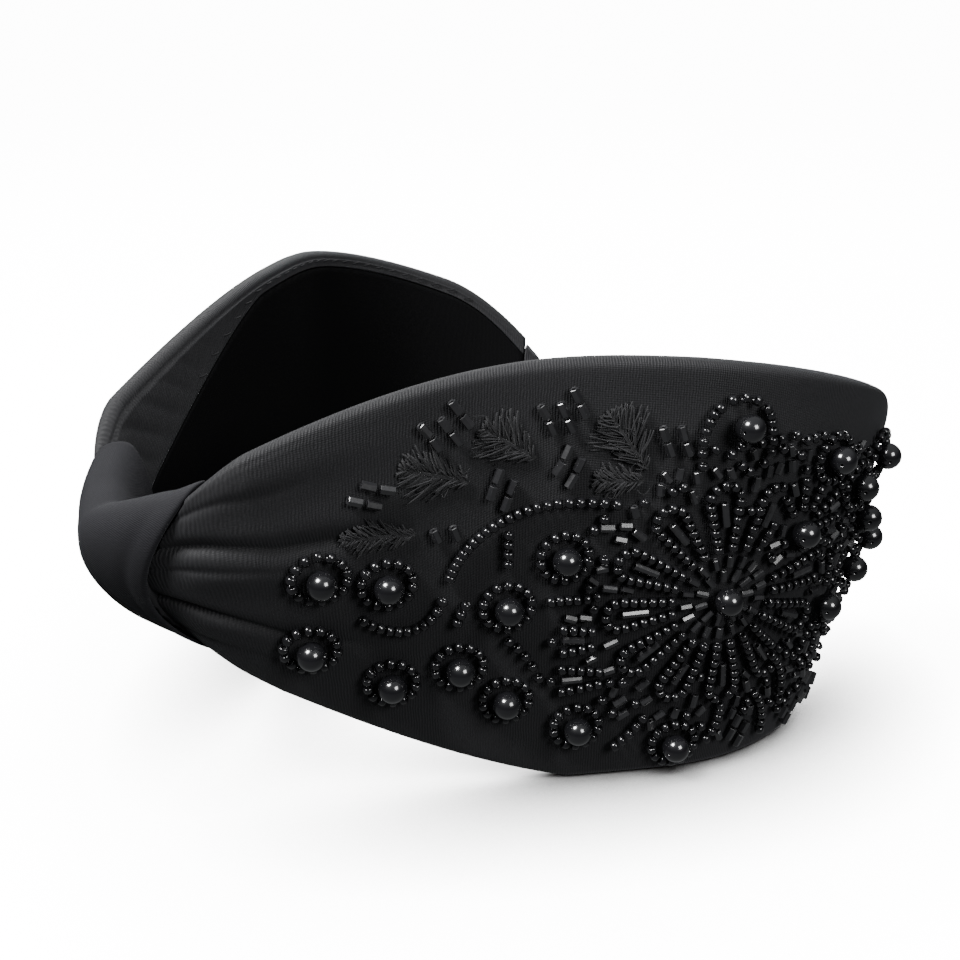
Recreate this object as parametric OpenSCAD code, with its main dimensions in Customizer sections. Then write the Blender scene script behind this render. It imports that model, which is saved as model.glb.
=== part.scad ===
// Wide knotted headband, beaded on both arms, lying on its long edge.
// +Z is up, +X points from the open side to the knot, +Y points to the left arm. Sizes in millimetres.

/* [Band] */
// distance along the band from the middle of the knot to the end of an arm
arm_length = 170; // [166:1:174]
// radius of the bend at the knot
knot_bend_r = 25; // [24:0.5:27]
// angle of the bend at the knot, to each side
knot_bend_deg = 40; // [38:0.5:42]
// radius of the long side of the band
side_bend_r = 229; // [215:1:245]
// angle of the long side of the band
side_bend_deg = 18.5; // [17.5:0.25:19.5]
// radius of the bend that brings the ends together
end_bend_r = 54; // [52:0.5:57]
// how far the knot stands in front of the origin
knot_front = 57.5; // [56:0.5:59]

/* [Cloth] */
// height of the knot's lower edge above the surface that the band lies on
knot_lower_z = 33; // [30:0.5:35]
// height of the knot's upper edge
knot_upper_z = 63; // [60:0.5:66]
// height of the widest stretch of an arm
arm_height = 82; // [78:0.5:86]
// thickness of an arm along its middle
arm_thick = 6.4; // [6.2:0.1:7.5]
// thickness of an arm at its turned edges
edge_thick = 3.4; // [3.4:0.1:4]
// thickness of the outer cloth
cloth_thick = 0.9; // [0.8:0.05:1]
// depth of the pleats beside the knot
pleat_depth = 1.8; // [0:0.1:2]

/* [Knot] */
// half length of the wrap at its lower edge
wrap_half_low = 5; // [4:0.5:6]
// half length of the wrap at its upper edge
wrap_half_high = 12; // [11:0.5:13]
// depth of the wrap from front to back
wrap_depth = 13; // [12.5:0.25:14]
// gap between the wrap and the pleated cloth of an arm
knot_gap = 1.5; // [1.4:0.1:2]

/* [Beads] */
// diameter of a pearl
pearl_d = 5; // [4.5:0.1:5.2]
// diameter of a seed bead
seed_d = 1.9; // [1.7:0.05:2]
// distance between seed beads along their thread
seed_pitch = 1.65; // [1.6:0.05:1.9]
// length of a long bugle
bugle_length = 5.5; // [4.5:0.1:6]
// length of a cut bugle
cut_length = 2.6; // [2.2:0.1:2.8]

/* [Hidden] */

black_cloth = [0.035, 0.035, 0.04];
black_lining = [0.025, 0.025, 0.028];
black_glass = [0.02, 0.02, 0.022];
black_thread = [0.05, 0.05, 0.055];
foam_grey = [0.16, 0.16, 0.17];
core_grey = [0.1, 0.1, 0.1];

clear = 0.3;
end_gap = 0.4;
arm_stations = 34;
knot_stations = 8;
// heights across the outer cloth, closer together where the pleats run
face_steps = [0.06, 0.14, 0.22, 0.28, 0.33, 0.38, 0.44, 0.51, 0.58, 0.64, 0.69, 0.75, 0.84, 0.93];

// ---- plan curve of the band: three arcs on each side of the knot ----
knot_arc = knot_bend_r * knot_bend_deg * PI / 180;
side_arc = side_bend_r * side_bend_deg * PI / 180;
knot_centre = [knot_front - knot_bend_r, 0];
side_centre = knot_centre + (knot_bend_r - side_bend_r) * [cos(knot_bend_deg), sin(knot_bend_deg)];
end_start_deg = knot_bend_deg + side_bend_deg;
end_centre = side_centre + (side_bend_r - end_bend_r) * [cos(end_start_deg), sin(end_start_deg)];

// direction, in degrees, that the outside of the band faces at distance s from the knot's middle
function facing(s) = s < knot_arc ? s / knot_bend_r * 180 / PI
    : s < knot_arc + side_arc ? knot_bend_deg + (s - knot_arc) / side_bend_r * 180 / PI
    : end_start_deg + (s - knot_arc - side_arc) / end_bend_r * 180 / PI;
function outward(s) = [cos(facing(s)), sin(facing(s))];
function plan(s) = s < knot_arc ? knot_centre + knot_bend_r * outward(s)
    : s < knot_arc + side_arc ? side_centre + side_bend_r * outward(s)
    : end_centre + end_bend_r * outward(s);

// ---- outline of the cloth: heights and set-out of its two edges ----
flat_from = 70;
flat_to = 125;
full_from = 68;
neck = 77;
tip_from = 148;
function past(s, start, span) = max(0, s - start) / span;
function lower_z(s) = s < flat_from ? knot_lower_z * pow(1 - max(s, 0) / flat_from, 1.15)
    : 13 * pow(past(s, flat_to, 55), 1.5) + 7 * pow(past(s, tip_from, 25), 2);
function upper_z(s) = s < full_from
    ? arm_height - (arm_height - knot_upper_z) * pow(1 - max(s, 0) / full_from, 2)
    : arm_height - 30 * pow(past(s, full_from, 112), 2) - 9 * pow(past(s, tip_from, 25), 2);
function easing(s) = pow(1 - min(max(s, 0), neck) / neck, 2);
function lower_out(s) = -13.7 + 14.6 * easing(s);
function upper_out(s) = -9 + 27 * easing(s) + 11 * pow(past(s, 105, 75), 1.7);
function bulge(s) = 1.8 + 3.2 * pow(1 - min(s, 40) / 40, 2);
function tall(s) = upper_z(s) - lower_z(s);

// ---- pleats: two creases with a soft ridge between, fading along the arm ----
function crease(t, at_t, width) = exp(-pow((t - at_t) / width, 2));
function pleats(s, t) = pleat_depth * (
    crease(t, 0.78 - 0.007 * min(s, 20), 0.035) * pow(1 - min(s, 36) / 36, 0.7)
    + crease(t, 0.46 - 0.008 * min(s, 20), 0.035) * pow(1 - min(s, 30) / 30, 0.7)
    - 0.5 * crease(t, 0.56, 0.07) * pow(1 - min(s, 45) / 45, 0.7));
function face_out(s, t) = lower_out(s) + (upper_out(s) - lower_out(s)) * t + bulge(s) * 4 * t * (1 - t);

// a point of the cloth: s along the band, h above its lower edge, depth in from the outside face
function spot(s, h, depth) = let(o = face_out(s, h / tall(s)) - depth, p = plan(s) + o * outward(s))
    [p[0], p[1], lower_z(s) + h];
// the same on the inside, which follows the lens shape of the stuffed arm
function inner_depth(s, h) = let(t = h / tall(s))
    edge_thick + (arm_thick - edge_thick) * (1 - pow(abs(2 * t - 1), 3));

// where an arm's cloth begins: the wrap's edge slants, so the start depends on the height
function wrap_half(t) = wrap_half_low + (wrap_half_high - wrap_half_low) * t;
function arm_s(q, t) = let(start = wrap_half(t) + knot_gap)
    start + (arm_length - start) * pow(q, 1.25);

// ---- a sheet of cloth or foam: rows of points on its two faces, joined into one closed solid ----
module sheet(front, back) {
    rows = len(front);
    cols = len(front[0]);
    total = rows * cols;
    points = [for (r = front) each r, for (r = back) each r];
    function f(i, j) = i * cols + j;
    function b(i, j) = total + i * cols + j;
    quads = [
        for (i = [0 : rows - 2], j = [0 : cols - 2]) each [
            [f(i, j), f(i + 1, j), f(i + 1, j + 1), f(i, j + 1)],
            [b(i, j), b(i, j + 1), b(i + 1, j + 1), b(i + 1, j)]],
        for (i = [0 : rows - 2]) each [
            [f(i, 0), b(i, 0), b(i + 1, 0), f(i + 1, 0)],
            [f(i, cols - 1), f(i + 1, cols - 1), b(i + 1, cols - 1), b(i, cols - 1)]],
        for (j = [0 : cols - 2]) each [
            [f(0, j), f(0, j + 1), b(0, j + 1), b(0, j)],
            [f(rows - 1, j), b(rows - 1, j), b(rows - 1, j + 1), f(rows - 1, j + 1)]]];
    polyhedron(points, [for (k = quads) each [[k[0], k[2], k[1]], [k[0], k[3], k[2]]]], convexity = 10);
}

// ---- a closed loop of cloth: rings of points outside and inside ----
module tube(outside, inside) {
    rows = len(outside);
    cols = len(outside[0]);
    total = rows * cols;
    points = [for (r = outside) each r, for (r = inside) each r];
    function f(i, j) = i * cols + j % cols;
    function b(i, j) = total + i * cols + j % cols;
    quads = [
        for (i = [0 : rows - 2], j = [0 : cols - 1]) each [
            [f(i, j), f(i + 1, j), f(i + 1, j + 1), f(i, j + 1)],
            [b(i, j), b(i, j + 1), b(i + 1, j + 1), b(i + 1, j)]],
        for (j = [0 : cols - 1]) each [
            [f(0, j), f(0, j + 1), b(0, j + 1), b(0, j)],
            [f(rows - 1, j), b(rows - 1, j), b(rows - 1, j + 1), f(rows - 1, j + 1)]]];
    polyhedron(points, [for (k = quads) each [[k[0], k[1], k[2]], [k[0], k[2], k[3]]]], convexity = 10);
}

stations = [for (i = [0 : arm_stations]) i / arm_stations];

// ---- cover: outer face, both turned edges and the wide fold on the inside of the upper edge ----
hem_leg = 3.5;
// width of the cloth folded to the inside of the upper edge: wide by the knot, narrow along the arm
function fold_width(s) = 3.2 + 17 * pow(1 - min(s, 60) / 60, 1.3);
half_edge = edge_thick / 2;
foot = 0.9;
function at(q, t, h, depth) = let(s = arm_s(q, t)) spot(s, h, depth);
function on_face(q, t, in) = let(s = arm_s(q, t)) spot(s, t * tall(s), in + pleats(s, t));
function top(q, down, depth) = let(s = arm_s(q, 1)) spot(s, tall(s) - down, depth);
function fold(q, part, in) = let(s = arm_s(q, 0.97), h = tall(s) - 1.8 - (fold_width(s) - 1.8) * part)
    spot(s, h, inner_depth(s, h) - in);
function cover_outside(q) = concat(
    [at(q, 0, hem_leg, edge_thick), at(q, 0, 1.7, edge_thick), at(q, 0, 0.4, edge_thick - 0.4),
        at(q, 0, 0, half_edge + foot), at(q, 0, 0, half_edge - foot), at(q, 0, 0.4, 0.4)],
    [for (t = face_steps) on_face(q, t, 0)],
    [top(q, 0.4, 0.4), top(q, 0, half_edge), top(q, 0.4, edge_thick - 0.4)],
    [for (k = [0 : 4]) fold(q, k / 4, 0)]);
function cover_inside(q) = let(w = cloth_thick) concat(
    [at(q, 0, hem_leg, edge_thick - w), at(q, 0, 1.8, edge_thick - w), at(q, 0, 1.1, edge_thick - w - 0.1),
        at(q, 0, w, half_edge + 0.4), at(q, 0, w, half_edge - 0.4), at(q, 0, 1.1, w + 0.1)],
    [for (t = face_steps) on_face(q, t, w)],
    [top(q, 1.1, w + 0.1), top(q, w, half_edge), top(q, 1.1, edge_thick - w - 0.1)],
    [for (k = [0 : 4]) fold(q, k / 4, w)]);
module cover() {
    color(black_cloth) sheet([for (q = stations) cover_outside(q)], [for (q = stations) cover_inside(q)]);
}

// ---- lining: from the lower hem up to the fold ----
lining_thick = 0.8;
lining_steps = 10;
function lining_h(q, part) = let(s = arm_s(q, 0.5), low = hem_leg + 0.4, high = tall(s) - fold_width(s) - 0.4)
    low + (high - low) * part;
function lining_row(q, in) = [for (k = [0 : lining_steps])
    let(s = arm_s(q, 0.5), h = lining_h(q, k / lining_steps)) spot(s, h, inner_depth(s, h) - in)];
module lining() {
    color(black_lining) sheet([for (q = stations) lining_row(q, lining_thick)], [for (q = stations) lining_row(q, 0)]);
}

// ---- pad: soft sheet behind the outer cloth, from the end of the pleats to the end of the arm ----
pad_steps = 8;
pad_stations = 18;
pad_start = 40;
pad_front = cloth_thick + clear;
pad_back = 3;
function pad_row(s, back) = [for (k = [0 : pad_steps])
    let(low = hem_leg + 0.8, h = low + (0.93 * tall(s) - low) * k / pad_steps)
    spot(s, h, back ? min(pad_back, inner_depth(s, h) - cloth_thick - clear) : pad_front)];
module pad() {
    lengths = [for (i = [0 : pad_stations]) pad_start + (arm_length - 1 - pad_start) * i / pad_stations];
    color(foam_grey) sheet([for (s = lengths) pad_row(s, false)], [for (s = lengths) pad_row(s, true)]);
}

// ---- core band: one flexible strip from end to end ----
core_height = 14;
core_front = 3.4;
core_thick = 1.3;
core_end = 5;
core_steps = 56;
function mirrored(p, side) = [p[0], side * p[1], p[2]];
function core_row(s, depth) = [for (h = [-core_height / 2, core_height / 2])
    mirrored(spot(abs(s), tall(abs(s)) / 2 + h, depth), s < 0 ? -1 : 1)];
module core_band() {
    reach = arm_length - core_end;
    lengths = [for (i = [-core_steps : core_steps]) reach * i / core_steps];
    color(core_grey) sheet([for (s = lengths) core_row(s, core_front)],
        [for (s = lengths) core_row(s, core_front + core_thick)]);
}

// ---- knot: cloth tape on the core, gathered bundle, wrap and its stitches ----
knot_rows = [for (i = [-knot_stations : knot_stations]) i / knot_stations];
tape = 0.35;
function knot_spot(u, half, t, depth) = let(s = u * half)
    mirrored(spot(abs(s), t * tall(abs(s)), depth), s < 0 ? -1 : 1);
function box_ring(u, half, up, front, back) = [
    for (c = [[-up, back], [up, back], [up, front], [-up, front]]) let(s = u * half)
    mirrored(spot(abs(s), tall(abs(s)) / 2 + c[0], c[1]), s < 0 ? -1 : 1)];
sleeve_half = 4.5;
module core_sleeve() {
    grow = clear;
    front = core_front - grow;
    back = core_front + core_thick + grow;
    color(black_lining) tube(
        [for (u = knot_rows) box_ring(u, sleeve_half, core_height / 2 + grow + tape, front - tape, back + tape)],
        [for (u = knot_rows) box_ring(u, sleeve_half, core_height / 2 + grow, front, back)]);
}

wrap_points = 24;
wrap_out = 1.3;
function rounded(v) = sign(v) * pow(abs(v), 0.75);
function wrap_t(k, shrink) = 0.5 + (0.53 - shrink / 34) * rounded(sin(360 * k / wrap_points));
function wrap_in(k, shrink) = wrap_depth / 2 - wrap_out
    - (wrap_depth / 2 - shrink) * rounded(cos(360 * k / wrap_points));
function wrap_ring(u, shrink) = [for (k = [wrap_points - 1 : -1 : 0])
    let(t = wrap_t(k, shrink)) knot_spot(u, wrap_half(min(max(t, 0), 1)), t, wrap_in(k, shrink))];
module knot_wrap() {
    color(black_cloth) tube([for (u = knot_rows) wrap_ring(u, 0)], [for (u = knot_rows) wrap_ring(u, cloth_thick)]);
}

bundle_steps = 8;
function bundle_row(u, back) = [for (k = [0 : bundle_steps])
    let(t = 0.14 + 0.72 * k / bundle_steps, c = sqrt(1 - pow((t - 0.5) / 0.52, 2)))
    knot_spot(u * 0.92, wrap_half(t), t, back ? core_front - 0.9 : 2.4 - 2.1 * c)];
module knot_bundle() {
    color(black_cloth) sheet([for (u = knot_rows) bundle_row(u, false)], [for (u = knot_rows) bundle_row(u, true)]);
}

stitch_d = 0.35;
module stitch(length) {
    rotate([90, 0, 0]) cylinder(d = stitch_d, h = length, center = true, $fn = 16);
}

// depth of the wrap's hidden side at height t
function wrap_back(t) = let(v = pow(abs(t - 0.5) / 0.53, 4 / 3))
    wrap_depth / 2 - wrap_out + wrap_depth / 2 * pow(1 - v * v, 0.375);
wrap_stitch_count = 7;
stitch_clear = 0.45;
module wrap_stitches() {
    color(black_thread) for (i = [0 : wrap_stitch_count - 1]) {
        t = 0.26 + 0.46 * i / (wrap_stitch_count - 1);
        a = knot_spot(0, 1, t - 0.025, wrap_back(t - 0.025) + stitch_clear);
        b = knot_spot(0, 1, t + 0.025, wrap_back(t + 0.025) + stitch_clear);
        d = b - a;
        translate((a + b) / 2) rotate([0, atan2(d[0], d[2]), 0])
            cylinder(d = stitch_d, h = norm(d), center = true, $fn = 16);
    }
}

// ---- sewing on the outside face: s along the arm, t from lower to upper edge ----
function face_point(s, t) = spot(s, t * tall(s), 0);
function face_normal(s, t) = let(along = face_point(s + 1, t) - face_point(s - 1, t),
    up = face_point(s, t + 0.02) - face_point(s, t - 0.02), n = cross(along, up)) n / norm(n);
// true length along the curved outside face: shorter than s where the face lies inside the plan curve
side_scale = 0.97;
end_scale = 0.82;
bend_at = knot_arc + side_arc;
function run_of(s) = s < bend_at ? side_scale * s : side_scale * bend_at + end_scale * (s - bend_at);
function s_of(run) = run < side_scale * bend_at ? run / side_scale
    : bend_at + (run - side_scale * bend_at) / end_scale;
// a place's true run and height, in millimetres, and back again
function flat(p) = [run_of(p[0]), lower_z(p[0]) + p[1] * tall(p[0])];
function place_of(f) = let(s = s_of(f[0])) [s, (f[1] - lower_z(s)) / tall(s)];
// lifts its children off the cloth, clear of the ridge between the pleats
module sew(f, lift) {
    place = place_of(f);
    n = face_normal(place[0], place[1]);
    ridge = max(0, -pleats(place[0], place[1]));
    translate(face_point(place[0], place[1]) + (lift + ridge) * n)
        rotate([0, -asin(n[2]), atan2(n[1], n[0])]) children();
}
bead_lift = 0.2;

// ---- layout by run and height: a bead is [spot, angle, length, width] ----
ringed_pearls = [[26, 0.53], [36.5, 0.5], [23.5, 0.26], [36.5, 0.18], [48.5, 0.27], [57, 0.2],
    [57, 0.45], [67, 0.58], [70.5, 0.16], [90, 0.09], [124, 0.8], [135, 0.72], [147, 0.8], [149, 0.53]];
plain_pearls = [[98, 0.47], [99, 0.87], [115.5, 0.62], [141, 0.62], [139, 0.47], [128, 0.4]];
all_pearls = [for (p = concat(ringed_pearls, plain_pearls)) flat(p)];
pearl_r = pearl_d / 2;
ring_r = 4.2;
ring_count = floor(2 * PI * ring_r / seed_pitch) - 1;
function turned(r, a) = r * [cos(a), sin(a)];
seed_length = 0.95;
function seed(spot, angle) = [spot, angle, seed_length, seed_d];
raw_ring_seeds = [for (p = ringed_pearls, k = [0 : ring_count - 1])
    let(a = 360 * (k + 0.5) / ring_count) seed(flat(p) + turned(ring_r, a), a + 90)];

// a row of seed beads along a curve with two end points and two guide points
function curve_at(c, u) = pow(1 - u, 3) * c[0] + 3 * pow(1 - u, 2) * u * c[1]
    + 3 * (1 - u) * pow(u, 2) * c[2] + pow(u, 3) * c[3];
function curve_seeds(c, count) = [for (k = [0 : count - 1])
    let(u = (k + 0.5) / count, d = flat(curve_at(c, u + 0.01)) - flat(curve_at(c, u - 0.01)))
    seed(flat(curve_at(c, u)), atan2(d[1], d[0]))];

// flowers: petals of seed beads round a pearl, a bugle in each petal
big_flower = [98, 0.47];
small_flower = [115.5, 0.62];
low_flower = [128, 0.4];
petal_in = 9;
petal_out = 21.6;
petal_half = 2.7;
petal_neck = 1.15;
big_petals = [65, 95, 125, 155, 185, 215, 245, 275, 305, 335, 365];
row_in = 4.6;
row_beads = 4;
small_rows = [-30, 0, 30, 60, 90, 120];
low_rows = [-120, -90, -60, -30, 60, 90];
// two more petals lie flat between the left pearls and the big flower
side_petals = [[75, 0.385], [75, 0.285]];
side_petal_length = 9.5;
// a point of a petal's loop: out along one side, round the tip and back along the other side
function petal_point(d, side, half) = let(tip = PI * half, rise = half - petal_neck)
    d < side ? [d, petal_neck + rise * d / side]
    : d > side + tip ? [2 * side + tip - d, -petal_neck - rise * (2 * side + tip - d) / side]
    : [side, 0] + half * [sin((d - side) / half * 180 / PI), cos((d - side) / half * 180 / PI)];
function petal_seeds(centre, angle, r_in, r_out, half) = let(side = r_out - r_in - half,
    whole = 2 * side + PI * half, count = floor(whole / seed_pitch)) [for (k = [0 : count - 1])
    let(d = whole * (k + 0.5) / count, p = petal_point(d, side, half),
        q = petal_point(d + 0.1, side, half) - petal_point(d - 0.1, side, half), x = r_in + p[0], y = p[1])
    seed(flat(centre) + [x * cos(angle) - y * sin(angle), x * sin(angle) + y * cos(angle)],
        angle + atan2(q[1], q[0]))];
function row_seeds(centre, angle) = [for (k = [0 : row_beads - 1])
    seed(flat(centre) + turned(row_in + k * seed_pitch, angle), angle)];
raw_string_seeds = concat(
    curve_seeds([[31.7, 0.39], [36, 0.33], [43.5, 0.34], [46, 0.47]], 11),
    curve_seeds([[46.8, 0.51], [49, 0.63], [60, 0.74], [77, 0.695]], 22),
    curve_seeds([[57, 0.64], [57, 0.61], [57, 0.58], [57, 0.545]], 4),
    curve_seeds([[50.3, 0.46], [49, 0.43], [48.3, 0.41], [48, 0.385]], 3),
    curve_seeds([[53.5, 0.385], [57, 0.37], [61, 0.34], [63.6, 0.26]], 7),
    curve_seeds([[64, 0.47], [67, 0.485], [70, 0.48], [74, 0.49]], 6),
    curve_seeds([[91, 0.765], [86.5, 0.97], [109, 0.99], [105, 0.8]], 20),
    curve_seeds([[103.4, 0.77], [101.5, 0.76], [99.5, 0.775], [98, 0.79]], 3),
    curve_seeds([[77.5, 0.09], [80, 0.11], [82, 0.14], [84, 0.18]], 5),
    curve_seeds([[100, 0.19], [101, 0.16], [100.5, 0.12], [97, 0.08]], 6),
    curve_seeds([[112, 0.3], [117, 0.26], [119, 0.2], [119, 0.1]], 9),
    curve_seeds([[107, 0.22], [112, 0.18], [114, 0.13], [114, 0.06]], 8),
    [for (a = big_petals) each petal_seeds(big_flower, a, petal_in, petal_out, petal_half)],
    [for (a = small_rows) each row_seeds(small_flower, a)],
    [for (a = low_rows) each row_seeds(low_flower, a)],
    [for (p = side_petals) each petal_seeds(p, 180, 0, side_petal_length, 2.4)]);

bugle_d = 1.5;
cut_d = 1.6;
function radial_tube(centre, angle, r, length, width) = [flat(centre) + turned(r, angle), angle, length, width];
petal_bugle_r = petal_out - petal_half - 2.6;
row_bugle_r = row_in + 4.2;
raw_long_tubes = concat(
    [for (a = big_petals) radial_tube(big_flower, a, petal_bugle_r, bugle_length - 0.7, bugle_d)],
    [for (a = small_rows) radial_tube(small_flower, a + 15, row_bugle_r, bugle_length / 2, bugle_d)],
    [for (a = low_rows) radial_tube(low_flower, a + 15, row_bugle_r, bugle_length / 2, bugle_d)],
    [for (p = side_petals) radial_tube(p, 180, side_petal_length / 2 + 0.9, bugle_length * 0.7, bugle_d)],
    [for (a = [80 : 30 : 320]) radial_tube(big_flower, a, petal_out - 0.2, bugle_length / 2, bugle_d)]);

// a slanting group of cut bugles: pairs end to end, side by side
function cut_group(place, angle, columns, rows) = [for (i = [0 : columns - 1], j = [0 : rows - 1])
    let(across = (i - (columns - 1) / 2) * 2.9, along = (j - (rows - 1) / 2) * (cut_length + 0.4) - i % 2 * 1.2)
    [flat(place) + [across * sin(angle) + along * cos(angle), along * sin(angle) - across * cos(angle)],
        angle, cut_length, cut_d]];
// two rings of short tubes round the big flower's pearl
inner_ring = [for (k = [0 : 10]) radial_tube(big_flower, 360 * k / 11, 4.4, 2.4, 1.2)];
outer_ring = [for (k = [0 : 17]) radial_tube(big_flower, 360 * k / 18 + 8, 7.1, 2.2, 1.3)];
raw_grouped_tubes = concat(inner_ring, outer_ring,
    cut_group([46.5, 0.9], 125, 3, 2), cut_group([66, 0.9], 115, 3, 2), cut_group([56, 0.742], 70, 2, 2),
    cut_group([67.5, 0.79], 65, 2, 2), cut_group([34, 0.765], 160, 2, 2), cut_group([46, 0.64], 115, 2, 1),
    cut_group([85.5, 0.84], 110, 2, 2), cut_group([73, 0.63], 175, 2, 1), cut_group([79.5, 0.205], 35, 2, 1),
    cut_group([107, 0.1], 70, 2, 2), cut_group([133, 0.12], 60, 3, 2), cut_group([125, 0.1], 60, 2, 2));

// leaves: [base, angle, length, width]
leaves = [[[50.5, 0.755], 162, 12, 6.5], [[61.5, 0.8], 146, 11, 6], [[81, 0.77], 124, 13, 7],
    [[80.5, 0.745], 176, 9, 3.6], [[41.5, 0.635], 178, 12, 3.6]];
leaf_areas = [for (l = leaves) radial_tube(l[0], l[1], l[2] / 2, l[2], l[3])];

// ---- each bead is kept only where it clears what is sewn already ----
bead_gap = 0.1;
pearl_clear = 2.3;
function reach_of(bead, way) = bead[2] / 2 * abs(cos(way - bead[1])) + bead[3] / 2 * abs(sin(way - bead[1]));
function apart(a, b, way) = abs((b[0] - a[0]) * turned(1, way)) - reach_of(a, way) - reach_of(b, way);
function beads_clear(a, b) = norm(b[0] - a[0]) > (a[2] + a[3] + b[2] + b[3]) / 2
    || max([for (way = [a[1], a[1] + 90, b[1], b[1] + 90]) apart(a, b, way)]) > bead_gap;
function bead_fits(bead, others) =
    min([for (q = all_pearls) let(d = q - bead[0]) norm(d) - reach_of(bead, atan2(d[1], d[0]))]) > pearl_clear
    && len([for (other = others) if (!beads_clear(bead, other)) 1]) == 0;
function kept(todo, others, done, i) = i >= len(todo) ? done
    : kept(todo, others, bead_fits(todo[i], concat(others, done)) ? concat(done, [todo[i]]) : done, i + 1);

// the order of sewing: rings, long bugles, groups of cut bugles, strings, then loose beads in the gaps
function ring_seeds() = kept(raw_ring_seeds, [], [], 0);
function long_tubes() = kept(raw_long_tubes, raw_ring_seeds, [], 0);
function grouped_tubes() = kept(raw_grouped_tubes, concat(raw_ring_seeds, raw_long_tubes), [], 0);
sewn_first = concat(raw_ring_seeds, raw_long_tubes, raw_grouped_tubes);
function string_seeds() = kept(raw_string_seeds, sewn_first, [], 0);

fill_left = 29;
fill_right = 44;
fill_high = 31;
function in_fill(f) = let(d = f - flat(big_flower), p = place_of(f)) p[1] > 0.05 && p[1] < 0.9 && p[0] < arm_length - 14
    && norm([d[0] / (d[0] < 0 ? fill_left : fill_right), d[1] / fill_high]) < 1;
// places in staggered rows, each moved a little at random
function fill_spots(pitch, seed) = let(across = floor((fill_left + fill_right) / pitch),
    up = floor(2 * fill_high / pitch), dx = rands(-0.3, 0.3, across * up, seed),
    dy = rands(-0.3, 0.3, across * up, seed + 1)) [for (i = [0 : across - 1], j = [0 : up - 1])
        let(k = i * up + j, f = flat(big_flower) + [(i + dx[k] + j % 2 / 2) * pitch - fill_left,
            (j + dy[k]) * pitch - fill_high]) if (in_fill(f)) f];
fill_length = 2.2;
fill_d = 1.4;
function fill_angle(f) = let(d = f - flat(big_flower)) atan2(d[1], d[0]) + 35 * sin(f[0] * 97);
function fill_tubes(strings) = kept([for (f = fill_spots(2.6, 11)) [f, fill_angle(f), fill_length, fill_d]],
    concat(sewn_first, leaf_areas, strings), [], 0);
function fill_seeds(strings, tubes) = kept([for (f = fill_spots(1.7, 23)) seed(f, fill_angle(f) + 90)],
    concat(sewn_first, leaf_areas, strings, tubes), [], 0);

// ---- beads ----
module pearls() {
    color(black_glass) for (p = all_pearls) sew(p, pearl_r + bead_lift) sphere(r = pearl_r, $fn = 32);
}
// one hollow bead, standing on the cloth with its hole along its thread
hole_share = 0.35;
module bead(b) {
    sew(b[0], b[3] / 2 + bead_lift) rotate([b[1] - 90, 0, 0]) difference() {
        cylinder(d = b[3], h = b[2], center = true, $fn = 24);
        cylinder(d = b[3] * hole_share, h = b[2] + 1, center = true, $fn = 16);
    }
}
module ring_beads() {
    color(black_glass) for (b = ring_seeds()) bead(b);
}
module string_beads() {
    strings = string_seeds();
    color(black_glass) for (b = concat(strings, fill_seeds(strings, fill_tubes(strings)))) bead(b);
}
module long_bugles() {
    color(black_glass) for (b = long_tubes()) bead(b);
}
module cut_bugles() {
    color(black_glass) for (b = concat(grouped_tubes(), fill_tubes(string_seeds()))) bead(b);
}

// thread leaves: fans of long satin stitches on both sides of a vein
thread_d = 0.5;
module thread_line(place, angle, length) {
    sew(place, thread_d / 2 + bead_lift) rotate([angle - 90, 0, 0])
        cylinder(d = thread_d, h = length, center = true, $fn = 16);
}
module leaf(base, angle, length, width) {
    count = 9;
    thread_line(flat(base) + turned(length / 2, angle), angle, length);
    for (side = [-1, 1], k = [1 : count]) {
        u = k / (count + 1);
        reach = width * sin(180 * pow(u, 0.8)) / 2;
        x = length * u + reach * 0.6;
        y = side * (reach * 0.5 + 0.75);
        thread_line(flat(base) + [x * cos(angle) - y * sin(angle), x * sin(angle) + y * cos(angle)],
            angle + side * 38, max(1, reach * 1.15));
    }
}
module thread_leaves() {
    color(black_thread) for (l = leaves) leaf(l[0], l[1], l[2], l[3]);
}

// ---- hem stitches under the fold, and the folded end of each arm ----
hem_pitch = 5;
module hem_stitches() {
    color(black_thread) for (s = [34 : hem_pitch : arm_length - 12]) {
        h = tall(s) - fold_width(s) + 1.2;
        a = spot(s - 1.2, h, inner_depth(s, h) + 0.36);
        b = spot(s + 1.2, h, inner_depth(s, h) + 0.36);
        d = b - a;
        translate((a + b) / 2) rotate([0, 0, atan2(d[1], d[0]) + 90]) stitch(2.2);
    }
}
cuff_length = 4;
function cuff_row(s, back) = [for (k = [0 : 8])
    let(t = 0.04 + 0.92 * k / 8, h = t * tall(s), round_off = 1.1 * pow(abs(2 * t - 1), 4))
    spot(s, h, back ? inner_depth(s, h) - round_off + 0.3 : round_off - 0.3)];
module end_cuff() {
    ends = [for (i = [0 : 3]) arm_length + end_gap + cuff_length * i / 3];
    color(black_cloth) sheet([for (s = ends) cuff_row(s, false)], [for (s = ends) cuff_row(s, true)]);
}

module right() {
    mirror([0, 1, 0]) children();
}

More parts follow.
